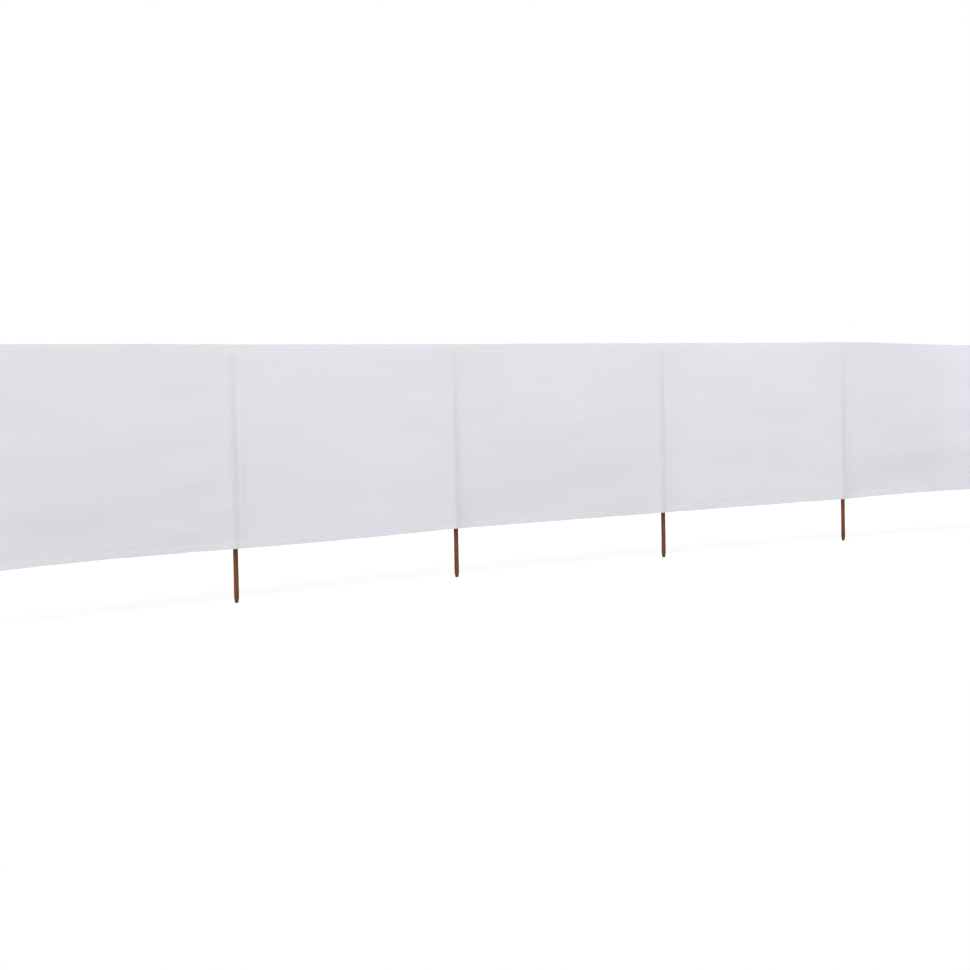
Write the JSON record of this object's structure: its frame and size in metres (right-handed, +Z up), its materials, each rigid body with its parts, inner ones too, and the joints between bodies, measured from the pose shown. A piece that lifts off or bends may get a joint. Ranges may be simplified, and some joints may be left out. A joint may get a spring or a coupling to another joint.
{
  "type": "beach windbreak",
  "caption": "Low beach windbreak: a long white cloth screen that bends gently round its lee side, held up by pointed wooden poles in sleeves sewn along its back.",
  "frame": {"origin": "centre of the flat tip of the middle pole, the lowest point of the part", "axes": "+X along the row of poles, +Z up along the poles, -Y out of the cloth's plain face, towards the hollow side of the row"},
  "size_m": [7.9476, 0.4067, 1.012],
  "materials": {
    "cloth": "matt off-white cloth, slightly see-through, with stitched seams",
    "wood": "red-brown stained softwood, satin, darker at the ends"
  },
  "bodies": {
    "root": {"panel_1": "cloth", "panel_2": "cloth", "panel_3": "cloth", "panel_4": "cloth", "panel_5": "cloth", "panel_6": "cloth", "top_hem_1": "cloth", "top_hem_2": "cloth", "top_hem_3": "cloth", "top_hem_4": "cloth", "top_hem_5": "cloth", "top_hem_6": "cloth", "bottom_hem_1": "cloth", "bottom_hem_2": "cloth", "bottom_hem_3": "cloth", "bottom_hem_4": "cloth", "bottom_hem_5": "cloth", "bottom_hem_6": "cloth", "sleeve_1": "cloth", "sleeve_2": "cloth", "sleeve_3": "cloth", "sleeve_4": "cloth", "sleeve_5": "cloth", "sleeve_6": "cloth", "sleeve_7": "cloth", "pole_1": "wood", "pole_2": "wood", "pole_3": "wood", "pole_4": "wood", "pole_5": "wood", "pole_6": "wood", "pole_7": "wood"}
  },
  "joints": []
}
